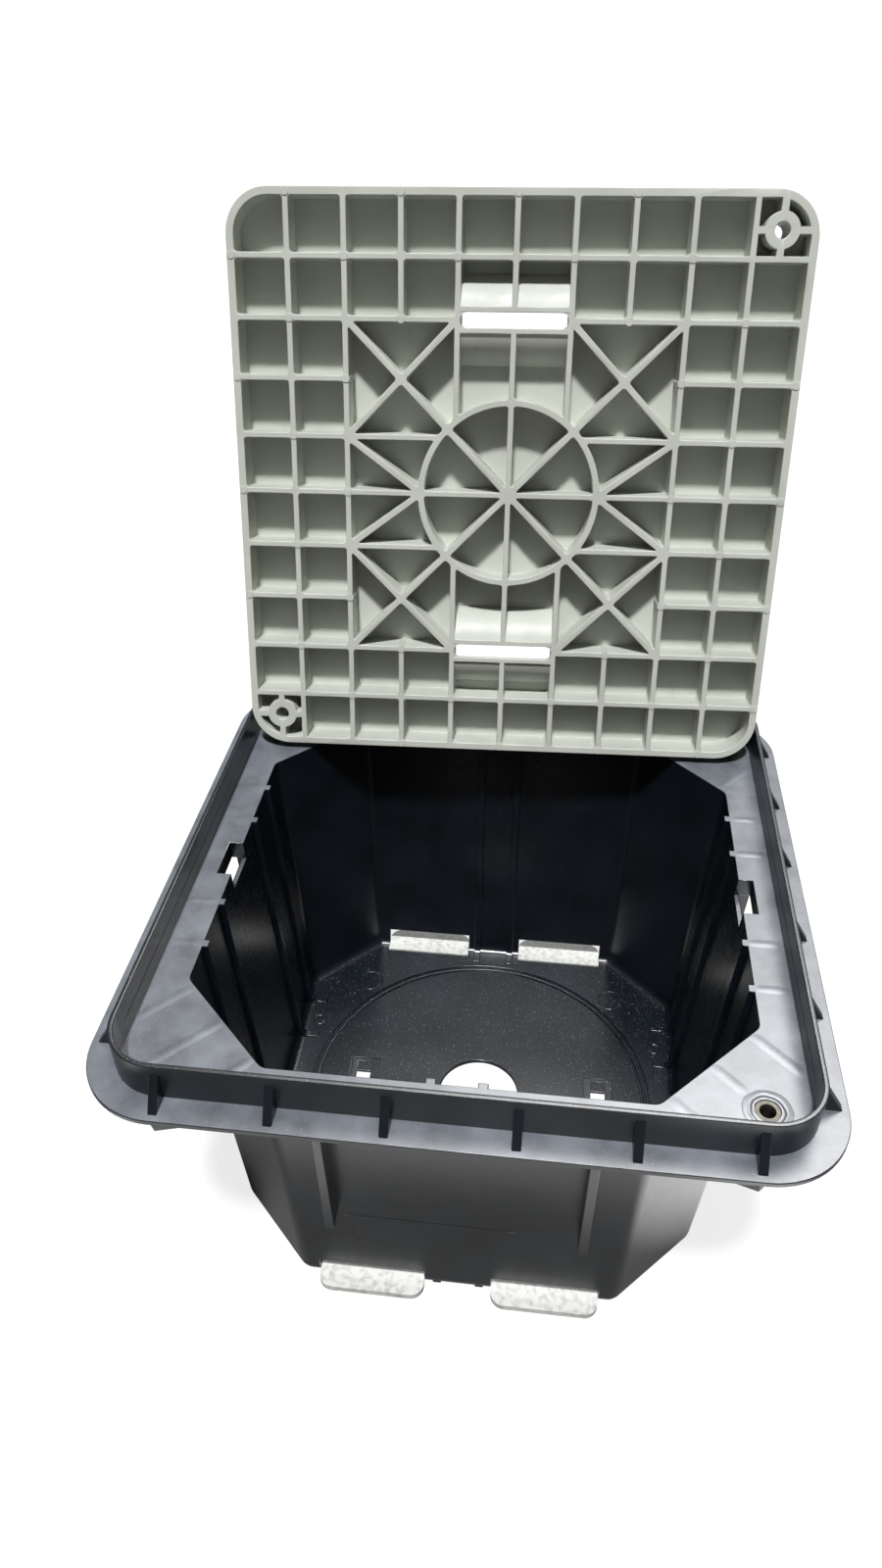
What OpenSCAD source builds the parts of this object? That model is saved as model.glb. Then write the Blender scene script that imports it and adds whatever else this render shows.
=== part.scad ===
// Earth pit cover: a moulded inspection chamber with its ribbed cover stood open in the rim.
// Millimetres, +Z up. The origin is the middle of the chamber's underside, the front faces -Y.

/* [Chamber rim] */
// Outer width of the upstanding rim
rim_w = 340; // [330:1:380]
// Outer corner radius of the rim
rim_r = 28; // [24:1:34]
// Thickness of the rim wall
rim_t = 2.5; // [2:0.25:4]
// Height of the rim above the ledge that carries the cover
rim_h = 22; // [18:0.5:28]
// How far the flange stands out past the rim
flange_reach = 14; // [12:0.5:22]
// Thickness of the plate that forms the ledge and the flange
plate_t = 3; // [2.5:0.25:5]

/* [Chamber body] */
// Height of the chamber from its underside to the top of the rim
chamber_h = 230; // [200:2:300]
// Width of the ledge beside the eight-sided opening, with the rim
ledge_w = 22; // [20:0.5:27]
// Leg of the opening's corner chamfers
opening_cut = 52; // [45:1:60]
// Wall thickness of the body
wall_t = 3; // [2.5:0.25:4]
// Thickness of the floor
floor_t = 3; // [2.5:0.25:5]
// How far each wall leans in from the ledge to the floor
wall_draft = 11; // [6:0.5:16]
// Radius of the body's upright corners, outside
corner_r = 10; // [8:0.5:14]
// Radius where the outside walls turn into the underside
base_r = 9; // [6:0.5:9]

/* [Chamber stiffening] */
// Gusset positions on the flange, from the middle of a side
gusset_at = [30.5, 85, 140]; // [20:0.5:142]
// Gusset length along the flange
gusset_len = 10.5; // [8:0.5:12]
// Distance from the rim's top down to the top of a gusset
gusset_drop = 5; // [3:0.5:10]
// Gusset thickness
gusset_t = 4.5; // [3:0.25:6]
// Positions of the fins outside the front and back walls
fin_front_at = 69; // [50:0.5:80]
// Positions of the rails inside the side walls, and of the fins outside them
rail_side_at = [37, 70]; // [30:0.5:80]
// Positions of the rails inside the front and back walls
rail_front_at = 12.7; // [9:0.1:17]
// Rail width
rail_w = 5; // [4:0.25:6]
// How far a rail stands out of its wall
rail_d = 3; // [2:0.25:5]
// Reach of a rail's foot across the floor
rail_foot = 15; // [12:0.5:20]
// Height of a rail's foot above the floor
rail_foot_h = 1.5; // [1:0.25:3]
// Fin thickness
fin_t = 5; // [3:0.25:6]
// How far a fin stands out of its wall
fin_d = 12.5; // [8:0.5:13]
// Length of a fin below the plate
fin_h = 122; // [60:2:150]
// Thickness of the corner fins
corner_fin_t = 4; // [3:0.25:5]
// Spacing of the three corner fins
corner_fin_gap = 30; // [24:0.5:32]
// Depth of a corner fin at the body
corner_fin_h = 45; // [30:1:70]
// Depth of a corner fin at the edge of the flange
corner_fin_tip = 4.5; // [3:0.5:8]

/* [Chamber cut-outs] */
// Width of the bar pocket in the middle of each side ledge
pocket_w = 27.4; // [20:0.2:36]
// Depth of the bar pocket into the ledge
pocket_d = 8.5; // [6:0.5:10]
// How far the bar pocket drops below the top of the ledge
pocket_h = 12; // [8:0.5:20]
// Wall round the bar pocket
pocket_t = 2.5; // [2:0.25:3.5]
// Inner and outer ends of the windows at the foot of the front and back walls
window_from = 20; // [18:0.5:24]
// Length of a window
window_l = 63.5; // [50:0.5:70]
// Height of a window above the floor
window_h = 13.5; // [8:0.5:20]
// How far a foot stands out past the wall
foot_reach = 9.5; // [9:0.5:14]
// Corner radius of a foot
foot_r = 8; // [4:0.5:9]
// Thickness of the tongue that carries a foot through its window
tongue_t = 1.5; // [1:0.25:3]
// Clearance between a foot and its window
foot_gap = 0.05; // [0.02:0.01:0.1]
// Diameter of the hole for the earth rod
rod_hole_d = 55; // [40:1:70]
// Diameter of the knock-out outlined on the floor
knockout_d = 238; // [200:2:244]
// Width of a knock-out groove
groove_w = 1.6; // [1:0.1:2.5]
// Depth of a knock-out groove
groove_d = 1.2; // [0.5:0.1:1.5]
// Distance of the square drain holes from the middle
drain_at = 83.3; // [60:0.1:90]
// Size of a square drain hole
drain_w = 10; // [8:0.5:14]
// Length of the pocket along a drain hole
drain_l = 36; // [26:1:44]
// Rim left round a drain pocket
drain_rim = 5; // [3:0.5:6]

/* [Fixing points] */
// Distance of the fixing points in from the rim's outer faces
bolt_inset = 24; // [23:0.5:28]
// Nominal thread diameter of the metal inserts
thread_d = 8; // [6:1:10]
// Outer diameter of an insert
insert_d = 12; // [11:0.5:13]
// Length of an insert
insert_l = 18; // [12:1:24]
// Outer diameter of the boss round an insert
insert_boss_d = 18; // [16:0.5:20]
// Clearance between an insert and its boss
insert_gap = 0.05; // [0.02:0.01:0.1]

/* [Cover] */
// Clearance between the seated cover and the rim, on each side
cover_gap = 1; // [0.5:0.25:3]
// Corner radius of the cover
cover_r = 25; // [24:0.5:28]
// Bevel round the edge of the cover's top face
edge_cut = 2; // [1:0.25:2]
// Thickness of the cover's top plate
cover_plate = 2.5; // [2.25:0.25:4]
// Width of the cover's outer frame
frame_w = 4.5; // [4:0.25:7]
// Width of the cover's square ribs
rib_w = 3.3; // [3:0.1:5]
// Width of the ring, of its spokes and of the slanting ribs
brace_w = 3.8; // [3:0.1:5]
// Number of rib cells along each side
cells = 10; // [10]
// Radius of the ring in the middle of the cover
ring_r = 53.5; // [50:0.5:58]
// Outer radius of the finger troughs
trough_r = 26; // [24:0.5:30]
// Wall thickness of the finger troughs
trough_t = 2.5; // [2:0.25:3.5]
// Width of the slot along a trough
slot_w = 8.5; // [6:0.5:10]
// Width of the lip round a slot
slot_lip = 3; // [2:0.5:5]
// Outer diameter of the cover's bolt bosses
boss_d = 19.5; // [17:0.5:22]
// Diameter of the bolt holes
bolt_hole_d = 8.5; // [8.25:0.25:10]
// Width of the spokes round a bolt boss
spoke_w = 3.8; // [3:0.1:5]

/* [Cover pose] */
// Lean of the standing cover, back from upright
cover_lean = 15.2; // [14:0.1:16]
// Turn of the standing cover about the upright
cover_turn = 2.4; // [0:0.1:2.4]
// Distance of the standing cover's foot in front of the rim's back wall
foot_in = 26.7; // [26.7:0.1:32]
// Sideways place of the cover's foot
foot_side = -0.9; // [-1:0.1:0]
// Clearance under the cover's foot
seat_gap = 0.1; // [0.05:0.05:0.3]

/* [Hidden] */
$fn = 64;
body_fn = 32;
ledge_z = chamber_h - rim_h;
plate_z = ledge_z - plate_t;
flange_w = rim_w + 2 * flange_reach;
opening_a = rim_w / 2 - ledge_w;
floor_a = opening_a - wall_draft;
fin_foot_z = plate_z - fin_h;
bolt_at = rim_w / 2 - bolt_inset;
cover_w = rim_w - 2 * rim_t - 2 * cover_gap;
foot_y = rim_w / 2 - rim_t - foot_in;
pitch = (cover_w - frame_w) / cells;
grid_mid = cells / 2;
trough_y = 3 * pitch;
trough_l = 2 * pitch - rib_w;
ring_at = sqrt(ring_r * ring_r - pitch * pitch) / pitch;
reach = 1;
black = "#1c1f23";
grey = "#c4c7c0";
metal = "#b9b6ad";
pale = "#cdcec9";

// Leg of an eight-sided outline's chamfer after the outline grows by w
function grown_cut(cut, w) = cut + w * (2 - sqrt(2));

// Inner face of a side wall at height z, and its outer face
function wall_in(z) = floor_a + wall_draft * (z - floor_t) / (ledge_z - floor_t);
function wall_out(z) = wall_in(z) + wall_t;

// Centres of the eight rounded corners of an outline with half width a
function corner_centres(a, cut, r) =
    let (near = a - cut - r * (sqrt(2) - 1), far = a - r)
    [for (s = [-1, 1], t = [-1, 1], q = [[s * far, t * near], [t * near, s * far]]) q];

// Quarter circle from straight down to straight out, about a centre
function quarter(c, r, steps = 6) =
    [for (k = [0:steps]) c + r * [sin(90 * k / steps), -cos(90 * k / steps)]];

module rounded_square(w, r) {
    square([w, w - 2 * r], center = true);
    square([w - 2 * r, w], center = true);
    for (s = [-1, 1], t = [-1, 1])
        translate([s * (w / 2 - r), t * (w / 2 - r)])
            circle(r);
}

// Upright slab whose outline lies in the plane of x (outward) and z
module upright(t) {
    rotate([90, 0, 0])
        linear_extrude(t, center = true)
            children();
}

// The same thing on all four sides, and on the two side walls or the front and back walls
module four_sides() {
    for (turn = [0:90:270])
        rotate([0, 0, turn])
            children();
}

module side_walls() {
    for (turn = [0, 180])
        rotate([0, 0, turn])
            children();
}

module front_and_back() {
    for (turn = [90, 270])
        rotate([0, 0, turn])
            children();
}

// Drafted eight-sided block that stands on z0 and ends at z1, with rounded corners and a rounded base
module drafted_block(a_top, a_base, cut_top, cut_base, r, base, z0, z1) {
    hull() {
        for (c = corner_centres(a_top, cut_top, r))
            translate([c.x, c.y, z1 - reach])
                cylinder(r = r, h = reach, $fn = body_fn);
        for (c = corner_centres(a_base, cut_base, r))
            translate([c.x, c.y, z0])
                rotate_extrude($fn = body_fn)
                    polygon(concat([[0, 0]], quarter([r - base, base], base), [[0, base]]));
    }
}

module body_outside() {
    drafted_block(
        opening_a + wall_t, floor_a + wall_t,
        grown_cut(opening_cut, wall_t), grown_cut(opening_cut, wall_t - wall_draft),
        corner_r, base_r, 0, plate_z + reach);
}

module body_inside() {
    drafted_block(
        opening_a, floor_a,
        opening_cut, grown_cut(opening_cut, -wall_draft),
        corner_r - wall_t, base_r - wall_t, floor_t, ledge_z + reach);
}

module plate_and_rim() {
    translate([0, 0, plate_z])
        linear_extrude(plate_t)
            rounded_square(flange_w, rim_r + flange_reach);
    translate([0, 0, ledge_z])
        linear_extrude(rim_h)
            difference() {
                rounded_square(rim_w, rim_r);
                rounded_square(rim_w - 2 * rim_t, rim_r - rim_t);
            }
}

module gussets() {
    foot = rim_w / 2;
    four_sides()
        for (s = [-1, 1], y = gusset_at)
            translate([0, s * y, 0])
                upright(gusset_t)
                    polygon([
                        [foot - rim_t / 2, ledge_z - plate_t / 2],
                        [foot + gusset_len, ledge_z - plate_t / 2],
                        [foot + gusset_len, ledge_z],
                        [foot, chamber_h - gusset_drop],
                        [foot - rim_t / 2, chamber_h - gusset_drop]
                    ]);
}

// Fin outside a wall, parallel to the wall's lean
module wall_fin() {
    upright(fin_t)
        polygon([
            [wall_out(fin_foot_z) - wall_t / 2, fin_foot_z],
            [wall_out(fin_foot_z) + fin_d, fin_foot_z],
            [wall_out(plate_z) + fin_d, plate_z + reach],
            [wall_out(plate_z) - wall_t / 2, plate_z + reach]
        ]);
}

module wall_fins() {
    front_and_back()
        for (s = [-1, 1])
            translate([0, s * fin_front_at, 0])
                wall_fin();
    side_walls()
        for (s = [-1, 1], y = rail_side_at)
            translate([0, s * y, 0])
                wall_fin();
}

// Three fins under each corner of the plate, square to the chamfered wall
module corner_fins() {
    start = (2 * opening_a - opening_cut) / sqrt(2) - wall_t;
    side_end = sqrt(2) * flange_w / 2 - corner_fin_gap - corner_fin_t / 2;
    middle_end = sqrt(2) * (rim_w / 2 - rim_r) + rim_r + flange_reach - corner_fin_t;
    for (turn = [45:90:315], k = [-1, 0, 1]) {
        tip = k == 0 ? middle_end : side_end;
        rotate([0, 0, turn])
            translate([0, k * corner_fin_gap, 0])
                upright(corner_fin_t)
                    polygon([
                        [start, plate_z + reach],
                        [tip, plate_z + reach],
                        [tip, plate_z - corner_fin_tip],
                        [start, plate_z - corner_fin_h]
                    ]);
    }
}

module fixing_bosses() {
    for (s = [-1, 1])
        translate([s * bolt_at, -s * bolt_at, ledge_z - insert_l - plate_t])
            cylinder(d = insert_boss_d, h = insert_l + plate_t / 2);
}

module fixing_holes() {
    for (s = [-1, 1])
        translate([s * bolt_at, -s * bolt_at, ledge_z - insert_l])
            cylinder(d = insert_d + 2 * insert_gap, h = insert_l + reach);
}

// Block that becomes the wall round a bar pocket, and the pocket itself
module pocket_blocks() {
    side_walls()
        translate([wall_out(ledge_z - pocket_h) - wall_t / 2, -pocket_w / 2 - pocket_t, ledge_z - pocket_h])
            cube([
                opening_a + pocket_d + pocket_t - wall_out(ledge_z - pocket_h) + wall_t / 2,
                pocket_w + 2 * pocket_t,
                pocket_h - plate_t / 2
            ]);
}

module pockets() {
    start = wall_in(ledge_z - pocket_h) - 2 * rail_d;
    side_walls()
        translate([start, -pocket_w / 2, ledge_z - pocket_h])
            cube([opening_a + pocket_d - start, pocket_w, pocket_h + reach]);
    side_walls()
        translate([wall_out(ledge_z - pocket_h), -pocket_w / 2, ledge_z - pocket_h - reach])
            cube([opening_a + pocket_d - wall_out(ledge_z - pocket_h), pocket_w, pocket_h + reach]);
}

module windows() {
    front_and_back()
        for (s = [-1, 1])
            translate([floor_a - base_r, s > 0 ? window_from : -window_from - window_l, floor_t])
                cube([base_r + wall_t + foot_reach, window_l, window_h]);
}

module floor_cuts() {
    translate([0, 0, -reach])
        cylinder(d = rod_hole_d, h = floor_t + 2 * reach);
    for (d = [knockout_d, knockout_d - 5 * groove_w])
        translate([0, 0, floor_t - groove_d])
            difference() {
                cylinder(d = d, h = groove_d + reach);
                translate([0, 0, -reach])
                    cylinder(d = d - 2 * groove_w, h = groove_d + 3 * reach);
            }
    for (s = [-1, 1])
        translate([s * drain_at, 0, 0]) {
            cube([drain_w, 2 * drain_w, 3 * floor_t], center = true);
            translate([-drain_w / 2, -drain_l / 2, floor_t * 2 / 3])
                cube([drain_w, drain_l, floor_t]);
            translate([-drain_w / 2 - drain_rim, -drain_l / 2 - drain_rim / 2, floor_t * 5 / 6])
                cube([drain_w + 2 * drain_rim, drain_l + drain_rim, floor_t]);
        }
}

// Rail inside a wall, level with the ledge at its top, turning into a short foot on the floor
module rail() {
    knee = 2 * rail_d;
    foot_top = floor_t + rail_foot_h;
    face = wall_in(foot_top + knee) - rail_d;
    bend = [for (k = [0:6]) [face - knee + knee * cos(15 * k), foot_top + knee - knee * sin(15 * k)]];
    upright(rail_w)
        polygon(concat(
            [
                [opening_a + wall_t / 2, ledge_z],
                [opening_a - rail_d, ledge_z]
            ],
            bend,
            [
                [floor_a - rail_foot, foot_top],
                [floor_a - rail_foot, floor_t / 2],
                [floor_a + wall_t / 2, floor_t / 2]
            ]));
}

module rails() {
    side_walls()
        for (s = [-1, 1], y = rail_side_at)
            translate([0, s * y, 0])
                rail();
    front_and_back()
        for (s = [-1, 1])
            translate([0, s * rail_front_at, 0])
                rail();
}

module chamber() {
    color(black) {
        difference() {
            union() {
                plate_and_rim();
                gussets();
                body_outside();
                wall_fins();
                corner_fins();
                fixing_bosses();
                pocket_blocks();
            }
            body_inside();
            windows();
            pockets();
            floor_cuts();
            fixing_holes();
        }
        rails();
    }
}

// Foot outside the front wall, with a tongue that lies on the floor and passes through a window
module foot(side) {
    inner = floor_a - base_r;
    wall = floor_a + wall_t + foot_gap;
    outer = floor_a + wall_t + foot_reach;
    under = floor_t + foot_gap;
    top = floor_t + tongue_t;
    half = window_l / 2 - foot_gap;
    color(pale)
        rotate([0, 0, -90])
            translate([0, side * (window_from + window_l / 2), 0])
                intersection() {
                    upright(window_l)
                        polygon([[inner, under], [inner, top], [outer, top], [outer, 0], [wall, 0], [wall, under]]);
                    linear_extrude(top + reach) {
                        translate([0, -half])
                            square([outer - foot_r, 2 * half]);
                        translate([0, foot_r - half])
                            square([outer, 2 * (half - foot_r)]);
                        for (t = [-1, 1])
                            translate([outer - foot_r, t * (half - foot_r)])
                                circle(foot_r);
                    }
                }
}

module foot_front_right() {
    foot(1);
}

module foot_front_left() {
    foot(-1);
}

module foot_back_right() {
    rotate([0, 0, 180])
        foot(-1);
}

module foot_back_left() {
    rotate([0, 0, 180])
        foot(1);
}

// Metal insert with a threaded bore, level with the ledge
module insert() {
    color(metal)
        difference() {
            cylinder(d = insert_d, h = insert_l);
            translate([0, 0, -reach])
                cylinder(d = thread_d, h = insert_l + 2 * reach);
        }
}

module insert_front_right() {
    translate([bolt_at, -bolt_at, ledge_z - insert_l])
        insert();
}

module insert_back_left() {
    translate([-bolt_at, bolt_at, ledge_z - insert_l])
        insert();
}

// Point on the cover's rib grid, counted in cells from the top left of its underside
function grid(i, j) = [(i - grid_mid) * pitch, (grid_mid - j) * pitch];

// Straight rib between two grid points
module rib(p, q, w = rib_w) {
    a = grid(p.x, p.y);
    b = grid(q.x, q.y);
    translate((a + b) / 2)
        rotate(atan2(b.y - a.y, b.x - a.x))
            square([norm(b - a) + w / 2, w], center = true);
}

module ring_2d(r, w) {
    difference() {
        circle(r + w / 2);
        circle(r - w / 2);
    }
}

module square_grid_ribs() {
    stop = grid_mid - ring_at;
    for (k = [1, cells - 1]) {
        rib([k, 0], [k, cells]);
        rib([0, k], [cells, k]);
    }
    for (k = [2, cells - 2]) {
        rib([k, 0], [k, cells]);
        rib([0, k], [grid_mid - 1, k]);
        rib([grid_mid + 1, k], [cells, k]);
    }
    for (k = [3, cells - 3], end = [0, cells - 2]) {
        rib([k, end], [k, end + 2]);
        rib([end, k], [end + 2, k]);
    }
    for (k = [grid_mid - 1, grid_mid + 1], end = [0, cells - stop]) {
        rib([k, end], [k, end + stop]);
        rib([end, k], [end + stop, k]);
    }
    rib([grid_mid, 0], [grid_mid, cells]);
    rib([0, grid_mid], [cells, grid_mid]);
}

module star_ribs() {
    ring_2d(ring_r, brace_w);
    hub = ring_r / pitch;
    for (s = [-1, 1]) {
        rib([2, grid_mid - 3 * s], [cells - 2, grid_mid + 3 * s], brace_w);
        for (t = [-1, 1])
            rib([grid_mid + s * hub, grid_mid], [grid_mid + 3 * s, grid_mid + t], brace_w);
    }
    for (i = [2, grid_mid + 1], j = [2, grid_mid + 1])
        if (i == j)
            rib([i, j + 2], [i + 2, j], brace_w);
        else
            rib([i, j], [i + 2, j + 2], brace_w);
}

module slot_bars() {
    for (s = [-1, 1], t = [-1, 1])
        translate([0, s * trough_y + t * (slot_w + slot_lip) / 2])
            square([trough_l + rib_w, slot_lip], center = true);
}

module cover_ribs_2d() {
    intersection() {
        union() {
            square_grid_ribs();
            star_ribs();
            slot_bars();
        }
        rounded_square(cover_w - frame_w, cover_r - frame_w / 2);
    }
    difference() {
        rounded_square(cover_w, cover_r);
        rounded_square(cover_w - 2 * frame_w, cover_r - frame_w);
    }
}

// Barrel of a finger trough along X, with its crest level with the rib tips
module trough_barrel(r, l) {
    for (s = [-1, 1])
        translate([0, s * trough_y, rim_h - trough_r])
            rotate([0, 90, 0])
                cylinder(r = r, h = l, center = true);
}

module trough_shells() {
    intersection() {
        trough_barrel(trough_r, trough_l + rib_w);
        translate([0, 0, rim_h / 2])
            cube([cover_w / 2, cover_w, rim_h], center = true);
    }
}

module trough_cuts() {
    trough_barrel(trough_r - trough_t, trough_l);
    slot_r = slot_w * 0.45;
    for (s = [-1, 1])
        translate([0, s * trough_y, rim_h / 2])
            linear_extrude(rim_h) {
                square([trough_l - 2 * slot_r, slot_w], center = true);
                square([trough_l, slot_w - 2 * slot_r], center = true);
                for (u = [-1, 1], v = [-1, 1])
                    translate([u * (trough_l / 2 - slot_r), v * (slot_w / 2 - slot_r)])
                        circle(slot_r);
            }
}

// Ring and four spokes of a bolt boss, in the corner cell of the grid
module boss_2d() {
    inside = (cover_w - frame_w) / 2;
    cell = (grid_mid - 1) * pitch;
    for (turn = [0, 180])
        rotate(turn) {
            translate([bolt_at, bolt_at])
                circle(d = boss_d);
            translate([bolt_at - spoke_w / 2, cell])
                square([spoke_w, inside - cell]);
            translate([cell, bolt_at - spoke_w / 2])
                square([inside - cell, spoke_w]);
        }
}

module bolt_holes() {
    for (s = [-1, 1])
        translate([s * bolt_at, s * bolt_at, -reach])
            cylinder(d = bolt_hole_d, h = rim_h + 2 * reach);
}

// Plate with rounded corners and a bevelled lower edge
module bevelled_plate(w, r, h, cut) {
    for (turn = [0, 90])
        rotate([90, 0, turn])
            linear_extrude(w - 2 * r, center = true)
                polygon([
                    [-w / 2 + cut, 0],
                    [w / 2 - cut, 0],
                    [w / 2, cut],
                    [w / 2, h],
                    [-w / 2, h],
                    [-w / 2, cut]
                ]);
    for (s = [-1, 1], t = [-1, 1])
        translate([s * (w / 2 - r), t * (w / 2 - r), 0]) {
            cylinder(r1 = r - cut, r2 = r, h = cut);
            translate([0, 0, cut])
                cylinder(r = r, h = h - cut);
        }
}

// The cover lying on its top face, with its rib tips up
module cover_flat() {
    difference() {
        union() {
            bevelled_plate(cover_w, cover_r, cover_plate, edge_cut);
            translate([0, 0, edge_cut])
                linear_extrude(rim_h - edge_cut) {
                    cover_ribs_2d();
                    boss_2d();
                }
            trough_shells();
        }
        trough_cuts();
        bolt_holes();
    }
}

// The cover stands on the ledge on the back edge of its foot, with its ribs to the front
module cover() {
    color(grey)
        translate([foot_side, foot_y, ledge_z + seat_gap - edge_cut * sin(cover_lean)])
            rotate([0, 0, cover_turn])
                rotate([90 - cover_lean, 0, 0])
                    translate([0, cover_w / 2, 0])
                        cover_flat();
}

chamber();
cover();
insert_front_right();
insert_back_left();
foot_front_right();
foot_front_left();
foot_back_right();
foot_back_left();
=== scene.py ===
# %% [markdown]
# # A plastic earth pit and its cover, step by step
# The object is an inspection chamber for an earth rod: an eight-sided tub moulded in black polypropylene,
# with a square rim on top, and a ribbed light grey cover that stands open in that rim and shows its
# underside. The solids come ready made and measured. This lesson dresses them: camera, light, the small
# moulded marks that are too fine for the solids, and the plastics themselves.

# %% Load the measured solids
import math

import bmesh
import bpy
from mathutils import Matrix, Vector


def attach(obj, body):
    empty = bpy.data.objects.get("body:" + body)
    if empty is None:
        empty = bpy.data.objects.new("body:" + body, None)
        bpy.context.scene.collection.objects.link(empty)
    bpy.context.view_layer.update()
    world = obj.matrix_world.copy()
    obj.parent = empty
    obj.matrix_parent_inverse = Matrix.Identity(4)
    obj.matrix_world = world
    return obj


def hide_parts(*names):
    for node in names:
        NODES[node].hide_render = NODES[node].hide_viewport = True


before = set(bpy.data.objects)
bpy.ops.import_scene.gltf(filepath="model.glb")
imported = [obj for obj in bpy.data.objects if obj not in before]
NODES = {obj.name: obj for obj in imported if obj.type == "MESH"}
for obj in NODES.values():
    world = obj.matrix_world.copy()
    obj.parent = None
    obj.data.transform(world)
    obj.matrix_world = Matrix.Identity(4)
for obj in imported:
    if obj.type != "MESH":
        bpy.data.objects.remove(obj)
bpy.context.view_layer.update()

print("solids:", {name: len(node.data.polygons) for name, node in NODES.items()})

# %% [markdown]
# ## The camera
# A photograph's viewpoint can be found from straight edges whose real sizes are known. Here the square rim
# and the square cover gave 60 such edge points, and solving for them gave the numbers below. Typing them in
# keeps the view exact, where turning a camera by hand would only come near. The image is 900 by 1600, taller
# than wide, and Blender measures the sensor along the longer side.

# %% Camera at the photograph's viewpoint
def pose(x_axis, y_axis, z_axis, origin):
    """The matrix that turns the three axes to these directions and moves the origin to this place."""
    return Matrix.Translation(origin) @ Matrix((x_axis, y_axis, z_axis)).transposed().to_4x4()


camera_data = bpy.data.cameras.new("viewpoint")
camera_data.sensor_fit = "AUTO"
camera_data.sensor_width = 36
camera_data.lens = 24.722
camera_data.dof.use_dof = False
camera = bpy.data.objects.new("viewpoint", camera_data)
right = Vector((0.99311, 0.11698, -0.00692)).normalized()
up = Vector((-0.06611, 0.60804, 0.79115)).normalized()
camera.matrix_world = pose(right, up, right.cross(up), (0.0329, -0.46591, 0.63766))
bpy.context.scene.collection.objects.link(camera)
bpy.context.scene.camera = camera
print("camera at", [round(v, 3) for v in camera.matrix_world.translation])

# %% [markdown]
# ## Nodes and colours
# Every material below is a small graph of shader nodes. One helper adds a node, sets its values and plugs in
# its links, so a graph reads as a short list. Colours are picked in sRGB, as a colour picker shows them, and
# Blender works in linear light, so another helper converts them once.

# %% Helpers for materials
def linear(hex_colour):
    """sRGB hex to linear light."""
    parts = [int(hex_colour[i:i + 2], 16) / 255 for i in (1, 3, 5)]
    return [c / 12.92 if c <= 0.04045 else ((c + 0.055) / 1.055) ** 2.4 for c in parts] + [1]


def add(tree, kind, settings=None, **inputs):
    """Adds one node. A value that is a socket is linked, and any other value is set."""
    node = tree.nodes.new("ShaderNode" + kind)
    for name, value in (settings or {}).items():
        setattr(node, name, value)
    for name, value in inputs.items():
        numbered = name[1:].isdigit()
        socket = node.inputs[int(name[1:])] if numbered else node.inputs[name.replace("_", " ")]
        if isinstance(value, bpy.types.NodeSocket):
            tree.links.new(value, socket)
        else:
            socket.default_value = value
    return node


def calc(tree, operation, *values):
    """One step of arithmetic on sockets and numbers."""
    inputs = {f"_{index}": value for index, value in enumerate(values)}
    return add(tree, "Math", {"operation": operation}, **inputs).outputs[0]


def ramp(tree, value, low, high, to_low, to_high):
    """Maps a range of a value to another range, held at both ends."""
    made = add(tree, "MapRange", Value=value, From_Min=low, From_Max=high, To_Min=to_low, To_Max=to_high)
    return made.outputs[0]


def new_material(name):
    """An empty material that ends in one Principled shader."""
    material = bpy.data.materials.new(name)
    material.use_nodes = True
    tree = material.node_tree
    tree.nodes.clear()
    shader = add(tree, "BsdfPrincipled")
    add(tree, "OutputMaterial", Surface=shader.outputs["BSDF"])
    return material, tree, shader


def plug(tree, socket, shader, name):
    """Links a socket into one input of the shader."""
    tree.links.new(socket, shader.inputs[name])


print("mid grey #808080 in linear light:", round(linear("#808080")[0], 3))

# %% [markdown]
# ## Floor and sky
# A product picture stands on a pale floor that runs into a pale backdrop. The floor is ordinary pale paint to
# the light, so it keeps the shadow, and a little brighter to the camera, so the shadow stays soft. To gloss
# the floor glows only in two bands, one beside the part and one in front, and is dark elsewhere: a painted
# reflection of lit ground beyond the part's shadow, which gives the shiny walls a gradient to reflect. An
# even, weak sky fills the shadows.

# %% Floor and sky
FLOOR_HALF = 6
BAND_BESIDE = (0.13, 0.18, 0.23, 0.29)
BAND_IN_FRONT = (-0.205, -0.25, -0.29, -0.34)
floor_mesh = bmesh.new()
bmesh.ops.create_grid(floor_mesh, x_segments=1, y_segments=1, size=FLOOR_HALF)
floor_data = bpy.data.meshes.new("studio_floor")
floor_mesh.to_mesh(floor_data)
floor_mesh.free()
floor = bpy.data.objects.new("studio_floor", floor_data)
bpy.context.scene.collection.objects.link(floor)
floor_paint, tree, shader = new_material("matt studio paint")
shader.inputs["Base Color"].default_value = linear("#7C7C7A")
shader.inputs["Roughness"].default_value = 0.9
shader.inputs["Emission Color"].default_value = (1, 1, 1, 1)
ray = add(tree, "LightPath")
place = add(tree, "SeparateXYZ", Vector=add(tree, "TexCoord").outputs["Object"])


def band(position, edges, level):
    """A band across the ground that rises between two places and falls between two others."""
    rise = ramp(tree, position, edges[0], edges[1], 0, level)
    fall = ramp(tree, position, edges[2], edges[3], 1, 0)
    return calc(tree, "MULTIPLY", rise, fall)


# painted reflection: to gloss only, the floor glows in a band beside the part and one in front, for lit
# ground beyond the part's shadow
beside = band(place.outputs[0], BAND_BESIDE, 2.2)
in_front = band(place.outputs[1], BAND_IN_FRONT, 2.3)
bands = calc(tree, "ADD", beside, in_front)
painted_reflection_glow = calc(tree, "MULTIPLY", bands, ray.outputs["Is Glossy Ray"])
glow = calc(tree, "MULTIPLY_ADD", ray.outputs["Is Camera Ray"], 0.8, painted_reflection_glow)
plug(tree, glow, shader, "Emission Strength")
floor_data.materials.append(floor_paint)

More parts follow.
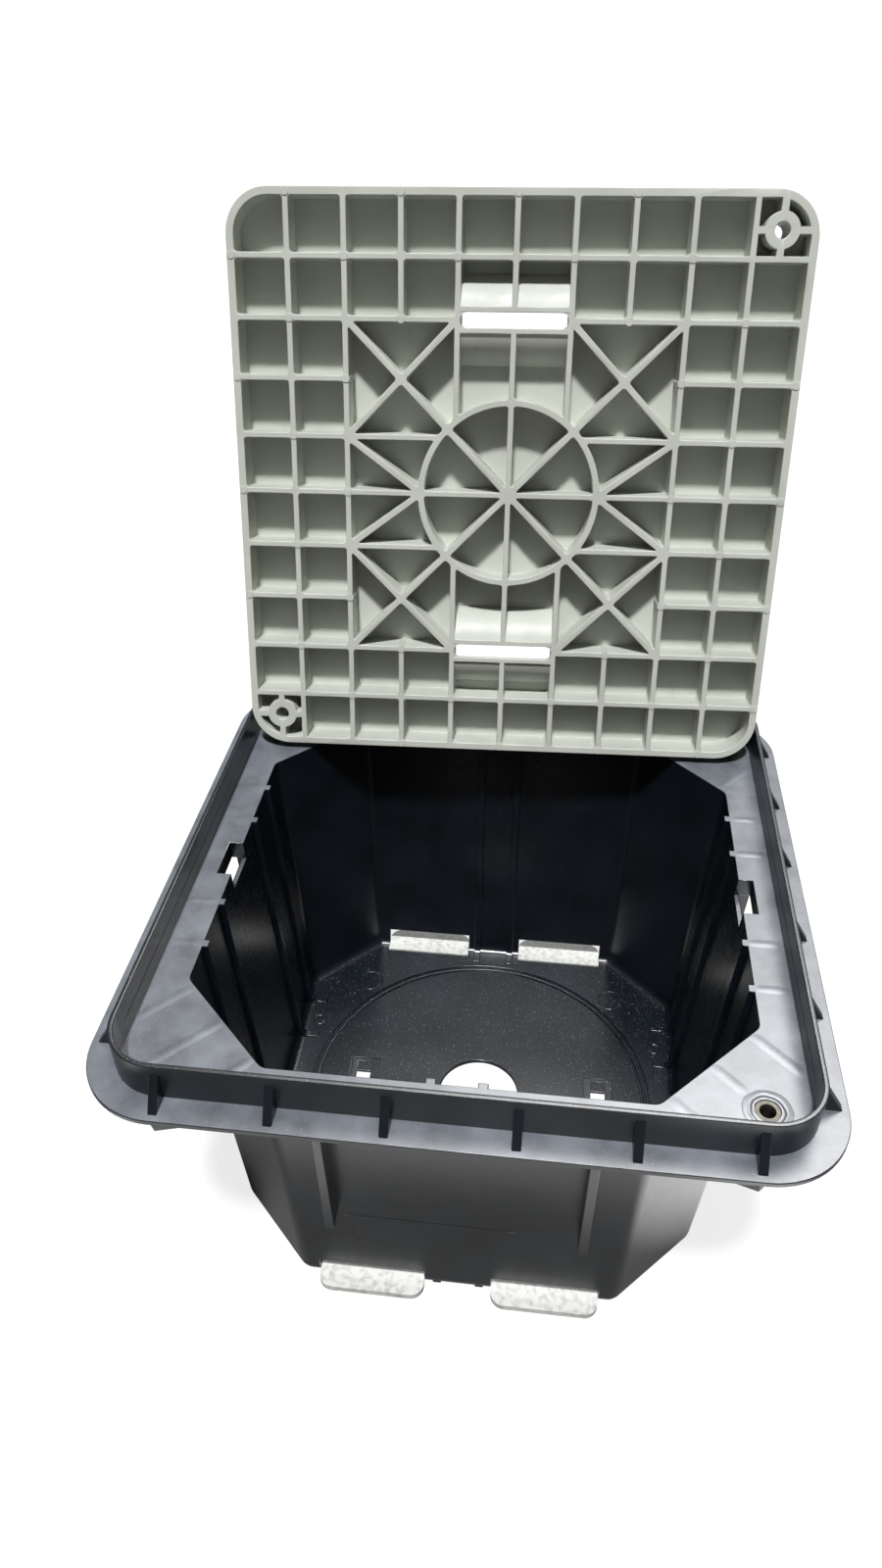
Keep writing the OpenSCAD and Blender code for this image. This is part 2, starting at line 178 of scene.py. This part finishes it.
SKY_FILL = 0.07
SKY_MORE_IN_GLOSS = 0.06
world = bpy.data.worlds.new("studio")
world.use_nodes = True
tree = world.node_tree
tree.nodes.clear()
ray = add(tree, "LightPath")
fill = calc(tree, "MULTIPLY_ADD", ray.outputs["Is Glossy Ray"], SKY_MORE_IN_GLOSS, SKY_FILL)
strength = calc(tree, "MAXIMUM", fill, ray.outputs["Is Camera Ray"])
sky = add(tree, "Background", Color=(1, 1, 1, 1), Strength=strength)
add(tree, "OutputWorld", Surface=sky.outputs[0])
bpy.context.scene.world = world
print("floor", 2 * FLOOR_HALF, "m wide, sky nodes:", len(tree.nodes))

# %% [markdown]
# ## Two lamps
# The key stands high in front and fills the underside of the cover with crisp rib shadows. The other lamp
# stands high behind the part and is seen only by gloss: on satin black plastic it gives the wide pale sheen
# that makes a face turned upwards look grey.

# %% Lamps
def lamp(name, energy, angle, direction):
    """A far lamp: its energy, its apparent width in degrees and the way its light travels."""
    data = bpy.data.lights.new(name, "SUN")
    data.energy = energy
    data.angle = math.radians(angle)
    made = bpy.data.objects.new(name, data)
    made.rotation_mode = "QUATERNION"
    made.rotation_quaternion = Vector(direction).to_track_quat("-Z", "Y")
    bpy.context.scene.collection.objects.link(made)
    return made


key = lamp("key", 4.4, 5, (0.02, 0.37, -0.93))
sheen = lamp("sheen", 7.0, 30, (-0.16, -0.42, -0.9))
sheen.visible_diffuse = False
print("lamps:", key.name, sheen.name)

# %% [markdown]
# ## Patterns
# Moulded plastic is never quite even. All the unevenness here comes from noise of a chosen size in
# millimetres, tied to the object, so it stays in place from every side.

# %% Helpers for patterns
def coordinates(tree, scale=(1, 1, 1)):
    """Object coordinates in metres, stretched by a scale for each axis."""
    return add(tree, "Mapping", Vector=add(tree, "TexCoord").outputs["Object"], Scale=scale).outputs[0]


def noise(tree, size_mm, detail=2, stretch=(1, 1, 1)):
    """Noise with features of about this size."""
    made = add(tree, "TexNoise", Vector=coordinates(tree, stretch), Scale=1000 / size_mm, Detail=detail)
    return made.outputs[0]


def blend(tree, factor, colour_a, colour_b):
    """Mixes two colours, each a hex value or a socket."""
    node = add(tree, "Mix", {"data_type": "RGBA"}, _0=factor)
    for index, colour in ((6, colour_a), (7, colour_b)):
        if isinstance(colour, str):
            node.inputs[index].default_value = linear(colour)
        else:
            tree.links.new(colour, node.inputs[index])
    return node.outputs[2]


def bump(tree, shader, height, depth_mm):
    """Raises the surface by up to a depth where the height is 1."""
    plug(tree, add(tree, "Bump", Height=height, Distance=depth_mm / 1000).outputs[0], shader, "Normal")


print("patterns of 0.9 to 40 mm")

# %% [markdown]
# ## Satin black polypropylene
# The chamber is moulded in black polypropylene. Carbon black takes nearly all the light that enters, so what
# the eye gets is the sheen of the skin: wide and grey where a face turns to the lamp, almost nothing where it
# turns away. The upward faces of the ledge and the flange are also painted a patchy lighter grey: painted
# sheen. Handling leaves fine scuffs that are a little rougher, and pale dust settles on faces that look
# upwards.

# %% Black plastic
black, tree, shader = new_material("satin black moulded polypropylene")
upward = add(tree, "SeparateXYZ", Vector=add(tree, "NewGeometry").outputs["Normal"]).outputs[2]
height = add(tree, "SeparateXYZ", Vector=coordinates(tree)).outputs[2]
cloud = ramp(tree, noise(tree, 35, 3), 0.35, 0.65, 0, 1)
body_colour = blend(tree, cloud, "#090D13", "#121820")
# painted sheen: the upward faces of the ledge and the flange, which lie between 195 and 213 mm, are painted a
# patchy lighter grey that stands in for the wide sheen of the lamp behind
level = calc(tree, "MULTIPLY", ramp(tree, height, 0.19, 0.2, 0, 1), ramp(tree, height, 0.211, 0.214, 1, 0))
level = calc(tree, "MULTIPLY", level, ramp(tree, upward, 0.85, 0.98, 0, 1))
painted_sheen = calc(tree, "MULTIPLY", level, ramp(tree, noise(tree, 18, 8), 0.3, 0.7, 0.45, 1))
body_colour = blend(tree, painted_sheen, body_colour, "#737880")
# the dust: fine pale grains, only where the face looks up
grains = ramp(tree, noise(tree, 1.1, 1), 0.66, 0.74, 0, 0.5)
settled = calc(tree, "MULTIPLY", grains, ramp(tree, upward, 0.6, 0.95, 0, 1))
plug(tree, blend(tree, settled, body_colour, "#8D9296"), shader, "Base Color")
# the scuffs: long thin strokes that cross the faces and break the sheen
strokes = noise(tree, 14, 4, (1, 9, 1))
skin = calc(tree, "ADD", ramp(tree, strokes, 0.3, 0.75, 0.29, 0.33), ramp(tree, upward, 0.85, 0.98, 0, 0.06))
# inside, and most of all low down, the tool was polished, and nothing has rubbed the surface since
flat = add(tree, "VectorMath", {"operation": "MULTIPLY"}, _0=coordinates(tree), _1=(1, 1, 0)).outputs[0]
from_middle = add(tree, "VectorMath", {"operation": "LENGTH"}, _0=flat).outputs["Value"]
polish = calc(tree, "MULTIPLY", ramp(tree, height, 0.02, 0.19, 0.06, 0.03),
              ramp(tree, from_middle, 0.15, 0.16, 1, 0))
plug(tree, calc(tree, "SUBTRACT", skin, polish), shader, "Roughness")
shader.inputs["IOR"].default_value = 1.5
bump(tree, shader, noise(tree, 0.9, 2), 0.003)
print(black.name, len(tree.nodes), "nodes")

# %% [markdown]
# ## Matt light grey polypropylene
# The cover is the same plastic with a light greyish green pigment and a matt tool surface. Its colour drifts
# a little from place to place, where the melt met or cooled slowly, and it carries small dark handling marks.

# %% Light grey plastic
grey, tree, shader = new_material("matt light grey moulded polypropylene")
cloud = ramp(tree, noise(tree, 40, 3), 0.35, 0.65, 0, 1)
smudge = ramp(tree, noise(tree, 9, 5), 0.62, 0.78, 0, 0.22)
body_colour = blend(tree, cloud, "#B9BCB3", "#C2C5BC")
plug(tree, blend(tree, smudge, body_colour, "#8E8F86"), shader, "Base Color")
plug(tree, ramp(tree, noise(tree, 12, 4), 0.3, 0.7, 0.42, 0.56), shader, "Roughness")
shader.inputs["IOR"].default_value = 1.49
bump(tree, shader, noise(tree, 1.3, 2), 0.02)
print(grey.name, len(tree.nodes), "nodes")

# %% [markdown]
# ## Speckled feet and machined metal
# The four feet are plain pale plastic with grey specks. The two inserts are turned from metal, with a dull
# plated face. Their thread is metal painted much darker: painted shade for the inside of the bore.

# %% Foot plastic and insert metal
pale, tree, shader = new_material("matt speckled moulded polypropylene")
specks = ramp(tree, noise(tree, 3.5, 5), 0.45, 0.7, 0, 1)
plug(tree, blend(tree, specks, "#CDCECA", "#A9AAA5"), shader, "Base Color")
shader.inputs["Roughness"].default_value = 0.6
bump(tree, shader, noise(tree, 1.6, 3), 0.05)

metal, tree, shader = new_material("turned nickel-plated brass")
shader.inputs["Base Color"].default_value = linear("#5F5C56")
shader.inputs["Metallic"].default_value = 1
plug(tree, ramp(tree, noise(tree, 2, 3), 0.3, 0.7, 0.62, 0.72), shader, "Roughness")

# painted shade: the thread is painted much darker than the insert's face, for the shade deep in the bore
shaded_thread_metal, tree, shader = new_material("cut brass thread, painted dark for bore shade")
shader.inputs["Base Color"].default_value = linear("#26241F")
shader.inputs["Metallic"].default_value = 1
shader.inputs["Roughness"].default_value = 0.6

FINISH = {"chamber": black, "cover": grey, "insert": metal, "foot": pale}
for name, node in NODES.items():
    for slot in node.material_slots:
        slot.material = FINISH[name.split("_")[0]]
print("materials:", [material.name for material in (*FINISH.values(), shaded_thread_metal)])

# %% [markdown]
# ## From a solid to a dressed piece
# The solids come as triangles. To round an edge, the flat faces have to be whole again, so a copy is welded
# and its flat areas are joined. The work is done in millimetres, and the last helper turns the result into
# an object that rides on the part.

# %% Helpers for meshes
MM = Matrix.Scale(0.001, 4)


def merged_copy(node, place, cuts=(), left_alone=lambda point: False):
    """A node's mesh in millimetres, welded, with its flat areas as single faces except along the cuts."""
    mesh = bmesh.new()
    mesh.from_mesh(node.data)
    mesh.transform(place.inverted() @ node.matrix_world)
    bmesh.ops.remove_doubles(mesh, verts=mesh.verts, dist=0.002)
    bmesh.ops.dissolve_degenerate(mesh, edges=mesh.edges, dist=0.1)
    for point, direction in cuts:
        cut = bmesh.ops.bisect_plane(mesh, geom=mesh.verts[:] + mesh.edges[:] + mesh.faces[:], dist=0.0001,
                                     plane_co=point, plane_no=direction)
        for item in cut["geom_cut"]:
            if isinstance(item, bmesh.types.BMEdge):
                item.seam = True
    free = [vert for vert in mesh.verts if not left_alone(vert.co)]
    free_edges = [edge for edge in mesh.edges if not any(left_alone(vert.co) for vert in edge.verts)]
    bmesh.ops.dissolve_limit(mesh, angle_limit=math.radians(0.5), verts=free, edges=free_edges,
                             delimit={"SEAM"})
    return mesh


def open_edges(mesh):
    """The number of edges that don't have a face on each side."""
    return sum(not edge.is_manifold for edge in mesh.edges)


def soften(mesh):
    """Shades curved surfaces smoothly. A large flat face beside a narrow round strip keeps its shading."""
    for face in mesh.faces:
        face.smooth = True
    for edge in mesh.edges:
        if len(edge.link_faces) == 2:
            bend = math.degrees(edge.calc_face_angle())
            small, large = sorted(face.calc_area() for face in edge.link_faces)
            edge.smooth = bend < 3 or bend < 50 and large < 4 * small


def piece(mesh, name, material, place, stands_for=None):
    """Turns a mesh in millimetres into an object of the scene that rides on the part."""
    bmesh.ops.recalc_face_normals(mesh, faces=mesh.faces)
    soften(mesh)
    mesh.transform(place)
    data = bpy.data.meshes.new(name)
    mesh.to_mesh(data)
    mesh.free()
    data.materials.append(material)
    made = bpy.data.objects.new(name, data)
    bpy.context.scene.collection.objects.link(made)
    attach(made, "root")
    if stands_for:
        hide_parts(stands_for)
    print(name, len(data.polygons), "faces")


print("scale of a millimetre:", round(MM[0][0], 4))

# %% [markdown]
# ## Soft edges for the cover
# A moulded part has no sharp inner corners: the tool is milled with a round cutter, and melt flows badly
# round an edge. So the cover's cells get corners of 1.6 mm and its rib tips get edges of 0.4 mm, in a copy
# that stands in for the solid. The work is done in the cover's own flat frame, underside up, and cut into
# squares first, so that each flat face stays a simple outline.

# %% The cover's own frame and its crowded places
RIB_TIP = 22.0
PITCH = 32.85
BOLT_AT = 146.0
HALF_COVER = 166.5
BOSS_FROM = 129
under = Vector((0.04041, -0.96417, 0.26219)).normalized()
across = Vector((0.99912, 0.04188, 0)).normalized()
rise = under.cross(across)
foot_edge = Vector((-0.0009, 0.1408, 0.207576))
COVER_POSE = pose(across, rise, under, foot_edge + rise * HALF_COVER / 1000) @ MM


def at_boss(point):
    """True in the two corners that hold a bolt boss."""
    return min(abs(point.x), abs(point.y)) > BOSS_FROM and point.x * point.y > 0


def crowded(point):
    """True at the bolt bosses and at the finger slots' ends, where there is no room for a round corner."""
    return at_boss(point) or 29 < abs(point.x) < 36 and 92 < abs(point.y) < 105


print("cover leans back by", round(math.degrees(math.acos(rise.z)), 1), "degrees")

# %% Cover with rounded cells
CELL_CORNER = 1.6
TIP_STEPS = ((0.12, 0.4), (0.28, 0.12))
cuts_at = [(step + 0.5) * PITCH for step in range(-5, 5)] + [-BOLT_AT, BOLT_AT]
cuts = [((value, 0, 0), (1, 0, 0)) for value in cuts_at] + [((0, value, 0), (0, 1, 0)) for value in cuts_at]
cover = merged_copy(NODES["cover"], COVER_POSE, cuts, at_boss)
corners = [edge for edge in cover.edges if edge.is_manifold and not edge.is_convex and edge.calc_length() > 4
           and abs((edge.verts[0].co - edge.verts[1].co).normalized().z) > 0.999
           and edge.calc_face_angle() > math.radians(25) and not crowded(edge.verts[0].co)]
bmesh.ops.bevel(cover, geom=corners, offset=CELL_CORNER, offset_type="OFFSET", segments=3, profile=0.5,
                affect="EDGES", material=-1, clamp_overlap=False)
cover.normal_update()
tips = [face for face in cover.faces
        if face.normal.z > 0.99 and all(vert.co.z > RIB_TIP - 0.03 for vert in face.verts)]
for width, drop in TIP_STEPS:
    strip = bmesh.ops.inset_region(cover, faces=tips, thickness=width, use_boundary=True,
                                   use_even_offset=False)
    kept = {vert for face in tips for vert in face.verts}
    for vert in {vert for face in strip["faces"] for vert in face.verts} - kept:
        vert.co.z = RIB_TIP - drop
print("rounded cell corners:", len(corners), "tip faces:", len(tips), "open edges:", open_edges(cover))

# %% [markdown]
# ## Ejector pins
# A part this deep is pushed out of its tool by pins that bear on the ribs where they cross. The ribs are too
# thin for a pin, so the tool has a small round pad at every other crossing, and the pads stay on the cover.

# %% Ejector pads at every other crossing
PAD_RADIUS = 2.4
PAD_TOP = 22.45
PAD_DEPTH = 20.0
OUTERMOST = 164


def has_pad(column, row):
    """Every other crossing of the grid, outside the star in the middle and the two finger troughs."""
    star = abs(column) < 3 and abs(row) < 3
    trough = column == 0 and abs(row) == 3
    return (column + row) % 2 == 1 and not star and not trough


pads = 0
for column in range(-5, 6):
    for row in range(-5, 6):
        x, y = (max(-OUTERMOST, min(OUTERMOST, step * PITCH)) for step in (column, row))
        spot = Vector((x, y, PAD_TOP - PAD_DEPTH / 2))
        if not has_pad(column, row) or crowded(spot):
            continue
        pad = bmesh.ops.create_cone(cover, cap_ends=True, segments=24, radius1=PAD_RADIUS,
                                    radius2=PAD_RADIUS - 0.05, depth=PAD_DEPTH,
                                    matrix=Matrix.Translation(spot))
        rim = {edge for vert in pad["verts"] for edge in vert.link_edges
               if all(v.co.z > RIB_TIP for v in edge.verts)}
        bmesh.ops.bevel(cover, geom=list(rim), offset=0.15, segments=2, profile=0.5, affect="EDGES",
                        material=-1)
        pads += 1
print("ejector pads:", pads)
piece(cover, "cover_skin", grey, COVER_POSE, "cover")

# %% [markdown]
# ## Soft edges for the chamber
# Every outer edge of the chamber is broken by 0.4 mm. On black plastic that is the detail that counts most:
# each edge catches a thin line of light. A flat face that has holes in it is opened and filled again, because
# it has to be cut into triangles round the holes.

# %% Flat areas with holes
def flat_areas_with_holes(mesh):
    """Each flat area that has holes: its faces, its border and its normal."""
    levels = {}
    for face in mesh.faces:
        normal = face.normal
        level = (*(round(part, 2) for part in normal), round(face.calc_center_median().dot(normal), 1))
        levels.setdefault(level, set()).add(face)
    found = []
    for left in levels.values():
        while left:
            first = left.pop()
            area, stack = {first}, [first]
            while stack:
                for edge in stack.pop().edges:
                    for other in left.intersection(edge.link_faces):
                        left.remove(other)
                        area.add(other)
                        stack.append(other)
            edges = {edge for face in area for edge in face.edges}
            corners = {vert for face in area for vert in face.verts}
            if len(corners) - len(edges) + len(area) < 1:
                border = [edge for edge in edges if sum(face in area for face in edge.link_faces) == 1]
                found.append((area, border, first.normal.copy()))
    return found


print("an area without holes has corners - edges + faces = 1")

# %% Chamber with broken edges
EDGE_BREAK = 0.4
chamber = merged_copy(NODES["chamber"], MM)
outer = [edge for edge in chamber.edges
         if edge.is_manifold and edge.is_convex and edge.calc_face_angle() > math.radians(35)]
bmesh.ops.bevel(chamber, geom=outer, offset=EDGE_BREAK, offset_type="OFFSET", segments=2, profile=0.5,
                affect="EDGES", material=-1, clamp_overlap=False)
chamber.normal_update()
areas = flat_areas_with_holes(chamber)
borders = {edge for _, border, _ in areas for edge in border}
bmesh.ops.delete(chamber, geom=list({face for area, _, _ in areas for face in area}), context="FACES_ONLY")
loose = [edge for edge in chamber.edges if not edge.link_faces and edge not in borders]
bmesh.ops.delete(chamber, geom=loose, context="EDGES")
for _, border, normal in areas:
    bmesh.ops.triangle_fill(chamber, use_beauty=True, use_dissolve=False, edges=border, normal=normal)
print("broken edges:", len(outer), "refilled areas:", len(areas), "open edges:", open_edges(chamber))
piece(chamber, "chamber_skin", black, MM, "chamber")

# %% [markdown]
# ## Small marks of the tool
# Above each fin the plastic is thicker, cools later and swells or sinks a little, so the ledge shows a soft
# ridge across it. Where two halves of the tool meet there is a fine line, and each pin that pushed the floor
# out left a ring. Plastic that was melted by pressing in a hot insert stands round it as a rough collar. All
# of them are low: a tenth to six tenths of a millimetre. Each one starts just under the face it stands on.

# %% Helpers for ridges and rings
LEDGE = 208.0
FLOOR = 3.0
SUNK = 0.02


def ridge(mesh, start, end, normal, width, height):
    """A low soft ridge along a face, highest in its middle and fading out over 3 mm at both ends."""
    start, end, normal = Vector(start), Vector(end), Vector(normal).normalized()
    length = (end - start).length
    along = (end - start).normalized()
    turn = pose(along, normal.cross(along), normal, (start + end) / 2)
    steps = max(4, min(40, int(length / 3)))
    strip = bmesh.ops.create_grid(mesh, x_segments=steps, y_segments=8, size=0.5)
    for vert in strip["verts"]:
        swell = math.cos(math.pi * vert.co.y) ** 2 * min(1, (0.5 - abs(vert.co.x)) * length / 3)
        vert.co = turn @ Vector((vert.co.x * length, vert.co.y * width, height * swell - SUNK))


def ring(mesh, centre, profile, wobble=0.0):
    """A turned ring on a level face: points of radius and height, spun all the way round."""
    older = set(mesh.verts)
    verts = [mesh.verts.new((radius, 0, height)) for radius, height in profile]
    edges = [mesh.edges.new(pair) for pair in zip(verts, verts[1:])]
    bmesh.ops.spin(mesh, geom=verts + edges, cent=(0, 0, 0), axis=(0, 0, 1), angle=math.tau, steps=48,
                   use_merge=True, use_duplicate=False)
    for vert in set(mesh.verts) - older:
        turn = math.atan2(vert.co.y, vert.co.x)
        vert.co.xy *= 1 + wobble * (math.sin(3 * turn + vert.co.length) + 0.6 * math.sin(7 * turn + 2))
        vert.co += Vector(centre)


print("ledge at", LEDGE, "mm, floor at", FLOOR, "mm")

# %% Ridges, lines and rings
SLANT_MIDDLE = 122.3
FIN_STEP = 30
RIM_INSIDE = 167.5
WALL_FOOT = 140.0
WALL_TOP = 151.0
INSERTS = ((146, -146), (-146, 146))
COLLAR = [(6.0, -SUNK), (6.3, 0.5), (7.2, 0.62), (8.1, 0.35), (8.6, 0.1), (9.3, 0.3), (10.0, 0.4),
          (10.8, 0.1), (11.4, 0.18), (12.0, -SUNK)]
marks = bmesh.new()
for sign_x in (-1, 1):
    for sign_y in (-1, 1):
        outward = Vector((sign_x, sign_y, 0)).normalized()
        for offset in (-FIN_STEP, 0, FIN_STEP):
            shift = offset * math.sqrt(0.5)
            start = Vector((sign_x * (SLANT_MIDDLE + shift), sign_y * (SLANT_MIDDLE - shift), LEDGE))
            # the middle ridge of a corner that holds an insert ends at the insert's collar
            reach = 33 if offset else 21 if sign_x * sign_y < 0 else 53
            ridge(marks, start, start + outward * reach, (0, 0, 1), 8, 0.2)
    for y in (-70, -37, 37, 70):
        ridge(marks, (sign_x * 148.5, y, LEDGE), (sign_x * 166, y, LEDGE), (0, 0, 1), 7, 0.2)
    line = [(sign_x * RIM_INSIDE, y, LEDGE + 10) for y in (-138, 100)]
    ridge(marks, *line, (-sign_x, 0, 0), 0.8, 0.16)
    ring(marks, (sign_x * 92.4, 94.8, FLOOR), [(8.2, -SUNK), (8.6, 0.22), (9.0, 0.25), (9.4, -SUNK)])
    ring(marks, (sign_x * 124, 52, FLOOR), [(3.7, -SUNK), (4.0, 0.2), (4.3, 0.2), (4.6, -SUNK)])
lean = math.atan2(WALL_TOP - WALL_FOOT, LEDGE - FLOOR)
line_height = 76
wall_y = -(WALL_FOOT + math.tan(lean) * (line_height - FLOOR))
line = [(x, wall_y, line_height) for x in (-64, 32)]
ridge(marks, *line, (0, -math.cos(lean), -math.sin(lean)), 0.9, 0.22)
for spot in INSERTS:
    ring(marks, (*spot, LEDGE), COLLAR, 0.018)
piece(marks, "chamber_marks", black, MM)

# %% [markdown]
# ## Thread in the inserts
# The solid inserts have a plain bore. Light on real ones catches the turns of the thread, so rings with the
# section of the thread line each bore.

# %% Thread turns
THREAD_PITCH = 1.25
THREAD_ROOT = 3.97
THREAD_CREST = 3.4
THREAD_MIDDLE = LEDGE - 9
profile = []
for turn in range(12):
    foot = turn * THREAD_PITCH - 7.9
    profile += [(THREAD_ROOT, foot), (THREAD_CREST, foot + 0.6)]
thread = bmesh.new()
for spot in INSERTS:
    ring(thread, (*spot, THREAD_MIDDLE), profile)
piece(thread, "insert_threads", shaded_thread_metal, MM)

# %% [markdown]
# ## Colour view
# The last step sets Blender's plain Standard view transform, so colours come out as they are set.

# %% Standard view transform
bpy.context.scene.view_settings.view_transform = "Standard"
